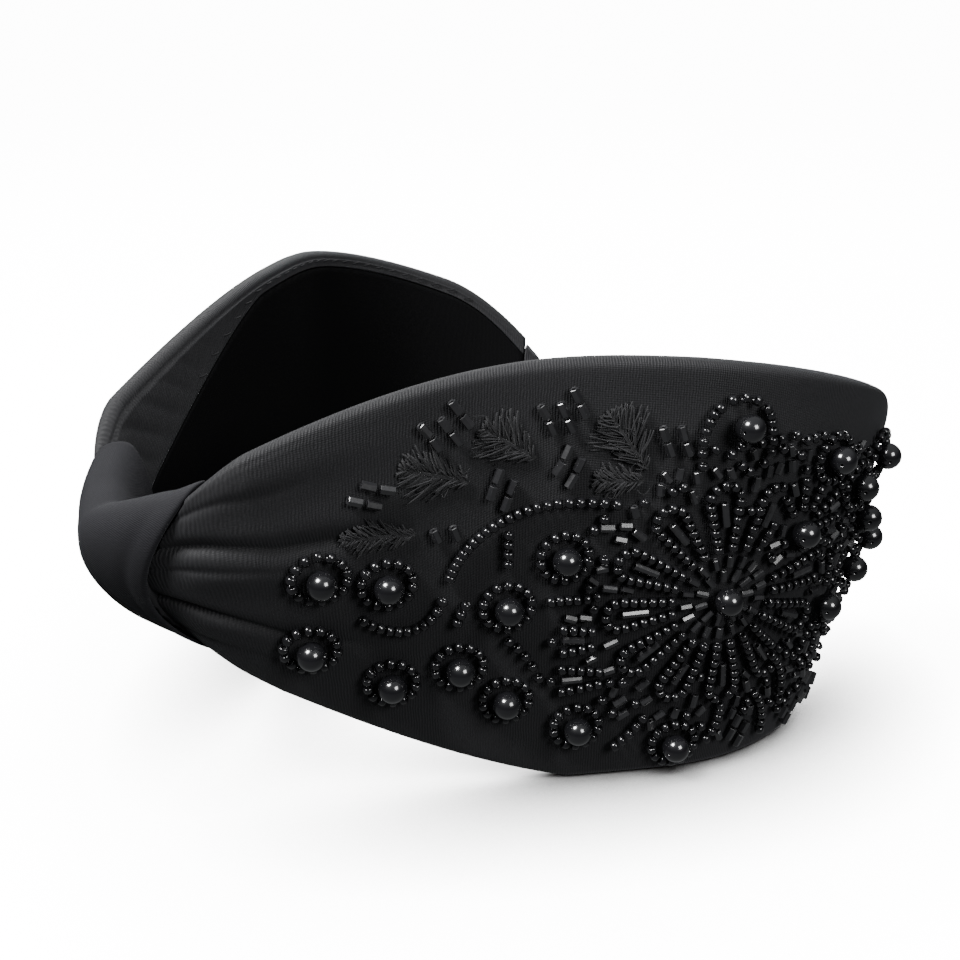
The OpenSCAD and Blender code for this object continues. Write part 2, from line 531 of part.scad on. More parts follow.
core_band();
core_sleeve();
knot_bundle();
knot_wrap();
wrap_stitches();
pad();  // left_pad
right() pad();  // right_pad
cover();  // left_cover
right() cover();  // right_cover
lining();  // left_lining
right() lining();  // right_lining
hem_stitches();  // left_hem_stitches
right() hem_stitches();  // right_hem_stitches
end_cuff();  // left_end_cuff
right() end_cuff();  // right_end_cuff
pearls();  // left_pearls
right() pearls();  // right_pearls
ring_beads();  // left_ring_beads
right() ring_beads();  // right_ring_beads
string_beads();  // left_string_beads
right() string_beads();  // right_string_beads
long_bugles();  // left_long_bugles
right() long_bugles();  // right_long_bugles
cut_bugles();  // left_cut_bugles
right() cut_bugles();  // right_cut_bugles
thread_leaves();  // left_thread_leaves
right() thread_leaves();  // right_thread_leaves
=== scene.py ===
import bpy
import math
import random
import numpy as np
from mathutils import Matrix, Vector


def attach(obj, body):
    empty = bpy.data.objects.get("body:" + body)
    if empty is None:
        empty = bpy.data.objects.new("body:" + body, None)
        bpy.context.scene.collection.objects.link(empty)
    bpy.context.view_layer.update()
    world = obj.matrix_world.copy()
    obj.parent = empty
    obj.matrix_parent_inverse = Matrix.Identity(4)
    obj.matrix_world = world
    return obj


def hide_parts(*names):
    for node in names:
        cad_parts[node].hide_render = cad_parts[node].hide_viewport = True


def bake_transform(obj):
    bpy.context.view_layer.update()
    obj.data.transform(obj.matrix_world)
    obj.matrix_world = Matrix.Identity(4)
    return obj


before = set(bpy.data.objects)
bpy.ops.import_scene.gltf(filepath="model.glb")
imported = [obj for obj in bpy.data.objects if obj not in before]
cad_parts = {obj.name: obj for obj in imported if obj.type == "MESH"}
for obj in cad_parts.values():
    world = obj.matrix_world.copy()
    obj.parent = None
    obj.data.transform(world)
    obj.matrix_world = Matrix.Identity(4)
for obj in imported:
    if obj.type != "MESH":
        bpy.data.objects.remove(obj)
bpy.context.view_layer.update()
MM = 0.001

# ---------------------------------------------------------------- shape of the band, in millimetres
ARM = 170.0                                     # from the knot's middle to the end of an arm's cloth
KNOT_R, KNOT_DEG = 25.0, 40.0                   # the tight bend at the knot
SIDE_R, SIDE_DEG = 229.0, 18.5                  # the nearly straight side
END_R = 54.0                                    # the inward curl towards the tip
KNOT_FRONT = 57.5                               # the band's line at the knot, along X
KNOT_LOW, KNOT_HIGH, HIGH = 33.0, 63.0, 82.0    # both edges at the knot, and the highest place
LANDS_AT, TOP_AT = 70.0, 68.0                   # where the lower edge lands and the upper one is highest
LIFT, LIFT_FROM, LIFT_SPAN = 13.0, 125.0, 55.0  # the lower edge rises again behind
DROP, DROP_SPAN = 30.0, 112.0                   # the upper edge falls behind its highest place
TIP_FROM, TIP_SPAN = 148.0, 25.0                # the arm narrows to its tip
TIP_LOW, TIP_HIGH = 7.0, 9.0
EASE_SPAN = 77.0                                # how far the face turns on its way from the knot
LOW_LEAN, LOW_TURN = -13.7, 14.6                # the lower edge, out from the band's line
HIGH_LEAN, HIGH_TURN = -9.0, 27.0               # the upper edge, out from the band's line
FLARE, FLARE_FROM, FLARE_SPAN = 11.0, 105.0, 75.0
BULGE, KNOT_BULGE, BULGE_SPAN = 1.8, 3.2, 40.0
SAG, SAG_FROM, SAG_SPAN = 1.9, 8.0, 62.0
EDGE, THICK, CLOTH = 3.4, 6.4, 0.9              # thick at an edge, thick in the middle, and the cloth
FOLD, KNOT_FOLD, FOLD_SPAN = 3.2, 17.0, 60.0    # how far the cloth is folded over inside
WRAP_LOW, WRAP_GROW, WRAP_BOW = 5.0, 7.0, 3.4   # half width of the wrap: low, gained upwards, pulled in
TUCK, TUCK_SPAN, TUCK_DEPTH = 1.6, 7.0, 1.5     # how the arms' cloth goes under the wrap

# each pleat: depth, height at the knot, drop along the arm, width, sharpness, how far it reaches
PLEATS = [(2.4, 0.78, 0.007, 0.030, 1.3, 42), (2.4, 0.46, 0.008, 0.030, 1.3, 36),
          (0.6, 0.92, 0.004, 0.022, 1.5, 26), (0.55, 0.64, 0.004, 0.018, 1.5, 24),
          (0.5, 0.22, 0.002, 0.022, 1.5, 28)]
# each puffed lobe between the pleats: rise, height, width
LOBES = [(0.9, 0.34, 0.09), (0.8, 0.68, 0.07), (0.7, 0.90, 0.06)]

KNOT_ARC = KNOT_R * math.radians(KNOT_DEG)
SIDE_ARC = SIDE_R * math.radians(SIDE_DEG)
END_DEG = KNOT_DEG + SIDE_DEG


def heading(degrees):
    return np.array([math.cos(math.radians(degrees)), math.sin(math.radians(degrees))])


KNOT_C = np.array([KNOT_FRONT - KNOT_R, 0.0])
SIDE_C = KNOT_C + (KNOT_R - SIDE_R) * heading(KNOT_DEG)
END_C = SIDE_C + (SIDE_R - END_R) * heading(END_DEG)


def past(s, start, span):
    return np.maximum(0.0, s - start) / span


def facing(s):
    a = s / KNOT_R
    b = math.radians(KNOT_DEG) + (s - KNOT_ARC) / SIDE_R
    c = math.radians(END_DEG) + (s - KNOT_ARC - SIDE_ARC) / END_R
    return np.where(s < KNOT_ARC, a, np.where(s < KNOT_ARC + SIDE_ARC, b, c))


def lower_z(s):
    near = KNOT_LOW * np.power(np.clip(1 - np.maximum(s, 0) / LANDS_AT, 0, 1), 1.15)
    far = LIFT * past(s, LIFT_FROM, LIFT_SPAN) ** 1.5 + TIP_LOW * past(s, TIP_FROM, TIP_SPAN) ** 2
    return np.where(s < LANDS_AT, near, far)


def upper_z(s):
    near = HIGH - (HIGH - KNOT_HIGH) * (1 - np.maximum(s, 0) / TOP_AT) ** 2
    far = HIGH - DROP * past(s, TOP_AT, DROP_SPAN) ** 2 - TIP_HIGH * past(s, TIP_FROM, TIP_SPAN) ** 2
    return np.where(s < TOP_AT, near, far)


def tall(s):
    return upper_z(s) - lower_z(s)


def easing(s):
    return (1 - np.clip(s, 0, EASE_SPAN) / EASE_SPAN) ** 2


def face_out(s, t):
    """How far the outside face stands out from the band's line, t up its height."""
    low = LOW_LEAN + LOW_TURN * easing(s)
    high = HIGH_LEAN + HIGH_TURN * easing(s) + FLARE * past(s, FLARE_FROM, FLARE_SPAN) ** 1.7
    bulge = BULGE + KNOT_BULGE * (1 - np.minimum(s, BULGE_SPAN) / BULGE_SPAN) ** 2
    return low + (high - low) * t + bulge * 4 * t * (1 - t)


def low_sag(s, t):
    """The soft lower edge hangs a little between the knot and the place where the arm comes to rest."""
    along = np.clip((s - SAG_FROM) / SAG_SPAN, 0, 1)
    return SAG * np.sin(math.pi * along) * np.clip(1 - t, 0, 1) ** 3


def spot(s, h, depth):
    """Points of the band: s along it, h above its lower edge, depth in from its outside face.

    s below 0 is the right side.
    """
    s, h, depth = np.broadcast_arrays(np.asarray(s, float), np.asarray(h, float), np.asarray(depth, float))
    side = np.where(s < 0, -1.0, 1.0)
    s = np.abs(s)
    f = facing(s)
    on_side = s < KNOT_ARC + SIDE_ARC
    centre = np.where((s < KNOT_ARC)[..., None], KNOT_C, np.where(on_side[..., None], SIDE_C, END_C))
    radius = np.where(s < KNOT_ARC, KNOT_R, np.where(on_side, SIDE_R, END_R))
    t = h / tall(s)
    r = radius + face_out(s, t) - depth
    z = lower_z(s) + h - low_sag(s, t)
    return np.stack([centre[..., 0] + r * np.cos(f), side * (centre[..., 1] + r * np.sin(f)), z], -1)


def inner_depth(s, h):
    """Depth of the inside face."""
    t = h / tall(s)
    return EDGE + (THICK - EDGE) * (1 - np.abs(2 * t - 1) ** 3)


def crease(t, at, width, power=2.0):
    return np.exp(-np.abs((t - at) / width) ** power)


def fade(s, length, power=0.7):
    return np.clip(1 - s / length, 0, 1) ** power


def pleats(s, t):
    """Depth of the gathers beside the knot: sharp folds with soft lobes and a ridge between them."""
    m = np.minimum(s, 20)
    depth = 0.0
    for deep, at, drop, width, power, reach in PLEATS:
        depth = depth + deep * crease(t, at - drop * m, width, power) * fade(s, reach)
    ridge = 0.9 * crease(t, 0.56, 0.07) * fade(s, 45)
    puff = sum(rise * crease(t, at, width) for rise, at, width in LOBES) * fade(s, 44)
    clear = np.clip((s - wrap_half(t) - 1) / 6, 0, 1)
    return depth - (ridge + puff) * clear


def wave(a, b, seed, count=5):
    """Slow, uneven waves between 0 and 1."""
    r = np.random.default_rng(seed)
    total = np.zeros(np.broadcast(a, b).shape)
    for _ in range(count):
        fa, fb, ph = r.uniform(-1, 1), r.uniform(-1, 1), r.uniform(0, 6.28)
        total = total + np.sin(a * fa + b * fb + ph)
    return 0.5 + total / (2 * count)


def wrap_half(t):
    """Half width of the wrap at height t: its edges bow in at the middle, where it is pulled tight."""
    t = np.clip(t, 0, 1)
    return WRAP_LOW + WRAP_GROW * t - WRAP_BOW * np.sin(math.pi * t)


def fold_width(s):
    """How far the upper edge's cloth is folded over to the inside."""
    return FOLD + KNOT_FOLD * (1 - np.minimum(s, FOLD_SPAN) / FOLD_SPAN) ** 1.3


# ---------------------------------------------------------------- meshes
def build(name, points, faces, uvs=None, smooth=True):
    """A mesh piece from points in millimetres, with the cloth's flat coordinates as its UVs."""
    mesh = bpy.data.meshes.new(name)
    points = np.asarray(points, float) * MM
    mesh.from_pydata(points.tolist(), [], faces)
    mesh.validate()
    if uvs is not None:
        layer = mesh.uv_layers.new(name="flat")
        index = np.empty(len(mesh.loops), int)
        mesh.loops.foreach_get("vertex_index", index)
        layer.data.foreach_set("uv", np.asarray(uvs, float)[index].astype(np.float32).ravel())
    mesh.polygons.foreach_set("use_smooth", [smooth] * len(mesh.polygons))
    mesh.update()
    piece = bpy.data.objects.new(name, mesh)
    bpy.context.scene.collection.objects.link(piece)
    return piece


def shell(name, front, back, run, rise, loop=False, flip=False):
    """A closed sheet from two grids of points. run and rise are its flat coordinates, in millimetres."""
    rows, cols = front.shape[:2]
    total = rows * cols
    points = np.concatenate([front.reshape(-1, 3), back.reshape(-1, 3)])
    flat = np.stack([np.broadcast_to(v, (rows, cols)) for v in (run, rise)], -1).reshape(-1, 2)
    uvs = np.concatenate([flat, flat])
    faces = []
    last = cols if loop else cols - 1
    for i in range(rows - 1):
        for j in range(last):
            a, b = i * cols + j, i * cols + (j + 1) % cols
            c, d = a + cols, b + cols
            faces.append((a, c, d, b))
            faces.append((total + a, total + b, total + d, total + c))
    for i in range(rows - 1):
        if not loop:
            a, c = i * cols, (i + 1) * cols
            faces.append((a, total + a, total + c, c))
            a, c = a + cols - 1, c + cols - 1
            faces.append((a, c, total + c, total + a))
    for j in range(last):
        a, b = j, (j + 1) % cols
        faces.append((a, b, total + b, total + a))
        a, b = a + total - cols, b + total - cols
        faces.append((a, total + a, total + b, b))
    if flip:
        faces = [f[::-1] for f in faces]
    return build(name, points, faces, uvs)


def mirrored(grid):
    return grid * np.array([1.0, -1.0, 1.0])


def arm_shell(name, front, back, run, rise, right):
    """A closed sheet on the left arm, or its mirror image on the right arm."""
    if right:
        front, back = mirrored(front), mirrored(back)
    return shell(name, front, back, run, rise, flip=right)


def offset_path(h, depth, by):
    """The same section moved inwards by a thickness: h and depth are (stations, points)."""
    dh, dd = np.gradient(h, axis=1), np.gradient(depth, axis=1)
    size = np.sqrt(dh * dh + dd * dd) + 1e-9
    return h - by * dd / size, depth + by * dh / size


def path_rise(h, depth):
    """Distance travelled round the section, which is the flat height of the cloth."""
    step = np.sqrt(np.diff(h, axis=1) ** 2 + np.diff(depth, axis=1) ** 2)
    return np.concatenate([np.zeros((len(h), 1)), np.cumsum(step, axis=1)], axis=1)


def tucked(s, h, depth):
    """Draws the cloth in where it goes under the wrap."""
    t = np.clip(h / tall(s), 0, 1)
    near = np.clip(1 - (s - wrap_half(t) + TUCK) / TUCK_SPAN, 0, 1) ** 1.6
    squeeze = near * (0.05 + 0.11 * t)
    middle = 0.40 * tall(s)
    inwards = TUCK_DEPTH * near * np.clip(1 - depth / 2.6, 0, 1)
    return middle + (h - middle) * (1 - squeeze), depth + inwards


def cover_section(stations, end):
    """The cloth's path round an arm: inner leg, lower edge, face, upper edge and the fold inside."""
    q = np.linspace(0, 1, stations)[:, None] ** 1.18
    half = EDGE / 2
    around = np.linspace(0, math.pi, 15)[None, :]

    def at(t):
        start = wrap_half(t) - TUCK
        return start + (end - start) * q

    s0, s1 = at(0.0), at(1.0)
    leg_h = np.linspace(3.5, half, 5)[None, :-1] + 0 * s0
    leg = (s0 + 0 * leg_h, leg_h, EDGE + 0 * leg_h)
    low = (s0 + 0 * around, half - half * np.sin(around) + 0 * s0, half + half * np.cos(around) + 0 * s0)
    t = np.linspace(0, 1, 110)[None, 1:-1]
    s = at(t)
    h = half + (tall(s) - 2 * half) * t
    calm_edges = 1 - crease(t, 0.0, 0.05) - crease(t, 1.0, 0.05)
    face = (s, h, pleats(s, h / tall(s)) + 0.4 * wave(s / 7, h / 6, 3) * calm_edges)
    high_h = tall(s1) - half + half * np.sin(around)
    high = (s1 + 0 * around, high_h, half - half * np.cos(around) + 0 * s1)
    part = np.linspace(0, 1, 26)[None, 1:]
    sf = at(0.97) + 0 * part
    hf = tall(sf) - half - (fold_width(sf) - half) * part
    pinch = 0.7 * np.sin(hf / 1.9 + sf / 9) ** 6 * fade(sf, 42, 1.2)
    pinch = pinch * np.sin(math.pi * np.clip(part, 0, 1)) ** 0.5
    soft = 0.25 * wave(sf / 5, hf / 3, 5) * np.sin(math.pi * part)
    fold = (sf, hf, inner_depth(sf, hf) - pinch - soft)
    s_all, h_all, d_all = (np.concatenate(rows, axis=1) for rows in zip(leg, low, face, high, fold))
    h_all, d_all = tucked(s_all, h_all, d_all)
    return s_all, h_all, d_all


def make_cover(name, right):
    s, h, d = cover_section(280, ARM)
    hi, di = offset_path(h, d, CLOTH * 0.9)
    front, back = spot(s, h, d), spot(s, hi, di)
    return arm_shell(name, front, back, s, path_rise(h, d), right)


def make_lining(name, right):
    q = np.linspace(0, 1, 150)[:, None] ** 1.2
    start = wrap_half(0.5) + 2.5
    s = start + (ARM - start) * q
    part = np.linspace(0, 1, 60)[None, :]
    low, high = 3.9, tall(s) - fold_width(s) - 0.4
    h = low + (high - low) * part
    s = s + 0 * h
    edge = np.sin(math.pi * part) ** 0.4
    folds = 0.9 * wave(s / 5.5, h / 11, 9) ** 3
    folds += 0.5 * crease(part, 0.35 + 0.1 * np.sin(s / 30), 0.03) * fade(np.abs(s - 60), 60)
    depth = inner_depth(s, h) + (folds - 0.2) * edge
    front, back = spot(s, h, depth - 0.75), spot(s, h, depth)
    return arm_shell(name, front, back, s, h, right)


PAD_FROM = 40.0
CORE_HALF, CORE_FRONT, CORE_BACK = 7.0, 3.42, 4.66
CUFF_GAP, CUFF_LONG = 0.4, 4.0


def make_pad(name, right):
    s = np.linspace(PAD_FROM, ARM - 1.5, 90)[:, None]
    part = np.linspace(0, 1, 40)[None, :]
    low = 4.3
    h = low + (0.93 * tall(s) - low) * part
    s = s + 0 * h
    round_off = 0.5 * (1 - np.sin(math.pi * np.clip(part, 0.02, 0.98)) ** 0.25)
    front = spot(s, h, 1.4 + round_off + 0.1 * wave(s, h, 4))
    back = spot(s, h, np.minimum(3.0, inner_depth(s, h) - 1.25) - round_off)
    return arm_shell(name, front, back, s, h, right)


def make_core(name, right):
    s = np.linspace(0, ARM - 5, 120)[:, None]
    part = np.linspace(-1, 1, 9)[None, :]
    h = tall(s) / 2 + CORE_HALF * part
    s = s + 0 * h
    bevel = 0.3 * np.abs(part) ** 6
    front, back = spot(s, h, CORE_FRONT + bevel), spot(s, h, CORE_BACK - bevel)
    return arm_shell(name, front, back, s, h, right)


def make_cuff(name, right):
    start = ARM + CUFF_GAP
    s = np.linspace(start, start + CUFF_LONG, 14)[:, None]
    part = np.linspace(0, 1, 48)[None, :]
    t = 0.04 + 0.92 * part
    s = s + 0 * t
    h = t * tall(s)
    close = ((s - start) / CUFF_LONG) ** 4 * 1.3
    round_off = 1.3 * np.abs(2 * t - 1) ** 4 + close
    tuck = 0.3 * np.sin(h * 0.9) ** 4 * (1 - (s - start) / 5)
    front = spot(s, h, round_off - 0.3 + tuck)
    back = spot(s, h, inner_depth(s, h) - round_off + 0.3 - tuck)
    return arm_shell(name, front, back, s, h, right)


def rounded(v):
    """Turns a sine or cosine into the coordinate of a rounded box."""
    return np.sign(v) * np.abs(v) ** 0.75


def wrap_grid(shrink, stations=72, points=180):
    """The wrap's surface round the knot, moved inwards by shrink."""
    u = np.linspace(-1, 1, stations)[:, None]
    a = np.linspace(0, 2 * math.pi, points, endpoint=False)[None, ::-1]
    roll = np.clip((np.abs(u) - 0.9) / 0.1, 0, 1)
    tuck = 0.42 * (1 - np.sqrt(np.clip(1 - roll ** 2, 0, 1)))
    tuck = tuck if shrink == 0 else -0.3 * tuck
    ripple = 0.2 * wave(np.sin(a) * 2, u * 4.5, 12)
    ripple = ripple + 0.22 * crease(u, 0.62 + 0.1 * np.sin(a), 0.12) + 0.15 * crease(u, -0.35, 0.14)
    ripple = ripple * (1 - roll)
    inwards = shrink + tuck + ripple * (1 if shrink == 0 else 0.6)
    t = 0.455 + (0.485 - inwards / 34) * rounded(np.sin(a))
    depth = 5.2 - (6.5 - inwards) * rounded(np.cos(a))
    s = u * wrap_half(t)
    return spot(s, t * tall(np.abs(s)), depth), s + 0 * a, a * 14 + 0 * u


def make_wrap(name):
    outer, run, rise = wrap_grid(0.0)
    inner, _, _ = wrap_grid(CLOTH * 0.92)
    return shell(name, outer, inner, run, rise, loop=True, flip=True)


def make_bundle(name):
    u = np.linspace(-1, 1, 40)[:, None]
    part = np.linspace(0, 1, 90)[None, :]
    t = 0.14 + 0.72 * part
    c = np.sqrt(1 - ((t - 0.5) / 0.52) ** 2)
    s = u * 0.8 * wrap_half(t)
    gathers = 0.35 * np.abs(np.sin(t * 42 + 0.6 * np.sin(u * 3)))
    front = spot(s, t * tall(np.abs(s)), 2.4 - 2.0 * c + gathers)
    back = spot(s, t * tall(np.abs(s)), 2.5 + 0 * s)
    return shell(name, front, back, s, t * 30)


SLEEVE_HALF = 1.5


def make_sleeve(name):
    u = np.linspace(-1, 1, 60)[:, None]
    a = np.linspace(0, 2 * math.pi, 48, endpoint=False)[None, :]
    square = (np.abs(np.sin(a)) ** 8 + np.abs(np.cos(a)) ** 8) ** (-1 / 8)
    wound = 0.12 * np.abs(np.sin(u * 9 + a / 2))

    def ring(grow):
        s = SLEEVE_HALF * u + 0 * a
        mid = tall(np.abs(s)) / 2
        depth = 4.05 + (0.95 + grow) * square * np.cos(a)
        return spot(s, mid + (CORE_HALF + 0.3 + grow) * square * np.sin(a), depth)

    return shell(name, ring(0.33 + wound), ring(0.0), SLEEVE_HALF * u, a * 5, loop=True)


# ---------------------------------------------------------------- beads, each placed from its CAD solid
def islands(node):
    """The points of each separate solid of a CAD node, in millimetres."""
    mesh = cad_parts[node].data
    co = np.empty(len(mesh.vertices) * 3)
    mesh.vertices.foreach_get("co", co)
    points, inverse = np.unique(np.round(co.reshape(-1, 3), 7), axis=0, return_inverse=True)
    inverse = inverse.ravel()
    edges = np.empty(len(mesh.edges) * 2, int)
    mesh.edges.foreach_get("vertices", edges)
    a, b = inverse[edges[0::2]], inverse[edges[1::2]]
    label = np.arange(len(points))
    while True:
        low = np.minimum(label[a], label[b])
        new = label.copy()
        np.minimum.at(new, a, low)
        np.minimum.at(new, b, low)
        new = new[new]
        if np.array_equal(new, label):
            break
        label = new
    order = np.argsort(label, kind="stable")
    cuts = np.flatnonzero(np.diff(label[order])) + 1
    return [points[g] / MM for g in np.split(order, cuts)]


def measure(points):
    """Centre, axis, length and radius of a tube bead or stitch."""
    centre = (points.min(0) + points.max(0)) / 2
    values, vectors = np.linalg.eigh(np.cov((points - points.mean(0)).T))
    flat_disc = abs(values[1] - values[2]) < abs(values[0] - values[1])
    axis = vectors[:, 0] if flat_disc else vectors[:, 2]
    along = (points - centre) @ axis
    centre = centre + axis * (along.max() + along.min()) / 2
    along = along - (along.max() + along.min()) / 2
    away = points - centre - np.outer(along, axis)
    return centre, axis, along.max() - along.min(), np.sqrt((away ** 2).sum(1)).max()


def lathe(profile, sides, roll=0.0):
    """A closed ring of revolution about X from (radius, x) points."""
    n = len(profile)
    points, faces = [], []
    for i in range(sides):
        a = 2 * math.pi * i / sides + roll
        points += [(x, r * math.cos(a), r * math.sin(a)) for r, x in profile]
    for i in range(sides):
        for j in range(n):
            a, b = i * n + j, i * n + (j + 1) % n
            c, d = ((i + 1) % sides) * n + j, ((i + 1) % sides) * n + (j + 1) % n
            faces.append((a, c, d, b))
    return np.array(points), faces


def seed_profile():
    """The rounded section of a seed bead, as (radius, x) points."""
    out = []
    for k in range(12):
        a = 2 * math.pi * k / 12
        c, n = math.cos(a), math.sin(a)
        r = math.copysign(abs(c) ** 0.8, c)
        x = math.copysign(abs(n) ** 0.8, n)
        out.append((0.66 + 0.34 * r, 0.5 * x))
    return out


def turn_to(axis, roll):
    """Rows of a rotation that takes X to the axis."""
    x = axis / np.linalg.norm(axis)
    y = np.cross(x, [0.3, 0.5, 0.81])
    y = y / np.linalg.norm(y)
    z = np.cross(x, y)
    y, z = y * math.cos(roll) + z * math.sin(roll), z * math.cos(roll) - y * math.sin(roll)
    return np.stack([x, y, z])


SEED = lathe(seed_profile(), 20)
HOLE, HALF, CHAMFER, LIP = 0.42, 0.5, 0.13, 0.10


def tube_shape(length, radius, sides, roll):
    """A straight tube bead with small chamfers, one unit long and one unit in radius."""
    inner, lip = 1 - CHAMFER / radius, HALF - LIP / length
    profile = [(HOLE, -lip), (inner, -HALF), (1, -lip), (1, lip), (inner, HALF), (HOLE, lip)]
    return lathe(profile, sides, roll)


def sew_beads(name, node, kind):
    points, faces, at = [], [], 0
    for i, solid in enumerate(islands(node)):
        if len(solid) < 12:
            continue
        centre, axis, length, radius = measure(solid)
        r = random.Random(i * 7 + 1)
        if kind == "seed":
            shape, quads = SEED
            long, wide, high = r.uniform(1.22, 1.34), r.uniform(0.96, 1.0), r.uniform(0.96, 1.0)
            tilt = 0.10
        else:
            shape, quads = tube_shape(length, radius, 6 if kind == "cut" else 8, r.uniform(0, 1))
            long, wide, high = r.uniform(0.93, 1.0), 1.0, 1.0
            tilt = 0.05
        size = np.array([length * long, radius * wide, radius * high])
        axis = axis + np.array([r.gauss(0, tilt) for _ in range(3)])
        turned = (shape * size) @ turn_to(axis, r.uniform(0, 6.28)) + centre
        points.append(turned)
        faces += [tuple(v + at for v in q) for q in quads]
        at += len(turned)
    return build(name, np.concatenate(points), faces, smooth=kind == "seed")


def pearl_shape():
    """A ball with a thread hole along X."""
    profile = [(0.10, -0.55)]
    for k in range(25):
        a = math.pi * (0.03 + 0.94 * k / 24)
        profile.append((math.sin(a), -math.cos(a)))
    profile.append((0.10, 0.55))
    return lathe(profile, 48)


def sew_pearls(name, node):
    points, faces, at = [], [], 0
    shape, quads = pearl_shape()
    for i, solid in enumerate(islands(node)):
        centre = (solid.min(0) + solid.max(0)) / 2
        radius = (solid.max(0) - solid.min(0)).max() / 2
        r = random.Random(i + 5)
        flatways = np.array([-centre[1], centre[0], 0.3 * r.uniform(-1, 1) * abs(centre[0])]) + 1e-6
        turned = (shape * radius) @ turn_to(flatways, 0) + centre
        points.append(turned)
        faces += [tuple(v + at for v in q) for q in quads]
        at += len(turned)
    return build(name, np.concatenate(points), faces)


def strand(points, radius, sides=6):
    """A thread through points (mm), tapered a little at its ends. Returns its points and faces."""
    p = np.asarray(points, float)
    n = len(p)
    d = np.gradient(p, axis=0)
    d = d / (np.linalg.norm(d, axis=1)[:, None] + 1e-9)
    side = np.cross(d, [0.21, 0.34, 0.92])
    side = side / (np.linalg.norm(side, axis=1)[:, None] + 1e-9)
    up = np.cross(d, side)
    thin = radius * (0.45 + 0.55 * np.sin(math.pi * np.linspace(0.06, 0.94, n)) ** 0.4)
    ring = []
    for k in range(sides):
        a = 2 * math.pi * k / sides
        ring.append(p + thin[:, None] * (math.cos(a) * side + math.sin(a) * up))
    pts = np.stack(ring, 1).reshape(-1, 3)
    faces = []
    for i in range(n - 1):
        for k in range(sides):
            a, b = i * sides + k, i * sides + (k + 1) % sides
            faces.append((a, b, b + sides, a + sides))
    faces.append(tuple(range(sides - 1, -1, -1)))
    faces.append(tuple((n - 1) * sides + k for k in range(sides)))
    return pts, faces


def gather(name, strands):
    points, faces, at = [], [], 0
    for pts, quads in strands:
        points.append(pts)
        faces += [tuple(v + at for v in q) for q in quads]
        at += len(pts)
    return build(name, np.concatenate(points), faces)


# flat layout on the cloth, as run and height in millimetres
SIDE_SCALE, END_SCALE = 0.97, 0.82
BEND_AT = KNOT_ARC + SIDE_ARC
BEND_RUN = SIDE_SCALE * BEND_AT


def to_flat(s, t):
    """The flat place of a point s along the arm and t up its height."""
    run = SIDE_SCALE * s if s < BEND_AT else BEND_RUN + END_SCALE * (s - BEND_AT)
    return np.array([run, float(lower_z(np.float64(s)) + t * tall(np.float64(s)))])


def on_cloth(flat, lift):
    """Points that stand off the outside face by lift."""
    flat = np.atleast_2d(flat)
    run = flat[:, 0]
    s = np.where(run < BEND_RUN, run / SIDE_SCALE, BEND_AT + (run - BEND_RUN) / END_SCALE)
    h = flat[:, 1] - lower_z(s)
    return spot(s, h, -np.asarray(lift) + np.minimum(0, pleats(s, h / tall(s))))


# each leaf: its foot, as millimetres along the arm and height, then its angle, length and width
LEAVES = [((50.5, 0.755), 162, 12, 6.5), ((61.5, 0.8), 146, 11, 6.0), ((81, 0.77), 124, 13, 7.0),
          ((80.5, 0.745), 176, 9, 3.6), ((41.5, 0.635), 178, 12, 3.6)]


def make_leaves(name, right):
    strands = []
    r = random.Random(21)
    for base, angle, length, width in LEAVES:
        origin = to_flat(*base)
        a = math.radians(angle)
        ax, ay = np.array([math.cos(a), math.sin(a)]), np.array([-math.sin(a), math.cos(a)])

        def line(p, q, radius, lift, sag=0.0):
            k = np.linspace(0, 1, 7)[:, None]
            pts = p * (1 - k) + q * k + sag * np.sin(math.pi * k) * ay
            arch = lift + 0.16 * np.sin(math.pi * k[:, 0])
            strands.append(strand(on_cloth(pts, arch), radius, 5))

        for k in range(4):
            end = origin + ax * length * r.uniform(0.9, 1.0) + ay * (k - 1.5) * 0.1
            line(origin + ay * (k - 1.5) * 0.16, end, 0.11, 0.42)
        count = int(length * 4.2)
        for side in (-1, 1):
            for k in range(count):
                u = (k + 0.6) / (count + 0.6)
                reach = width * math.sin(math.pi * u ** 0.8) / 2 * r.uniform(0.55, 1.25) + 0.7
                start = origin + ax * length * u * 0.92 + ay * side * 0.1
                lean = math.radians(36 + r.uniform(-17, 17))
                tip = start + ax * reach * math.cos(lean) * 1.25 + ay * side * reach * math.sin(lean) * 1.6
                line(start, tip, r.uniform(0.10, 0.17), 0.20 + r.uniform(0, 0.42), r.uniform(-0.4, 0.4))
        for k in range(7):
            p = origin + ax * length * r.uniform(0.1, 1.0) + ay * r.uniform(-1, 1) * width * 0.4
            bend = r.uniform(-1.6, 1.6)
            q = p + np.array([r.uniform(-2.6, 2.6), r.uniform(-2.6, 2.6)])
            kk = np.linspace(0, 1, 9)[:, None]
            pts = p * (1 - kk) + q * kk + bend * np.sin(math.pi * kk) * ay
            lift = 0.3 + 0.9 * np.sin(math.pi * kk[:, 0])
            strands.append(strand(on_cloth(pts, lift), 0.05, 4))
    if right:
        strands = [(mirrored(p), [f[::-1] for f in q]) for p, q in strands]
    return gather(name, strands)


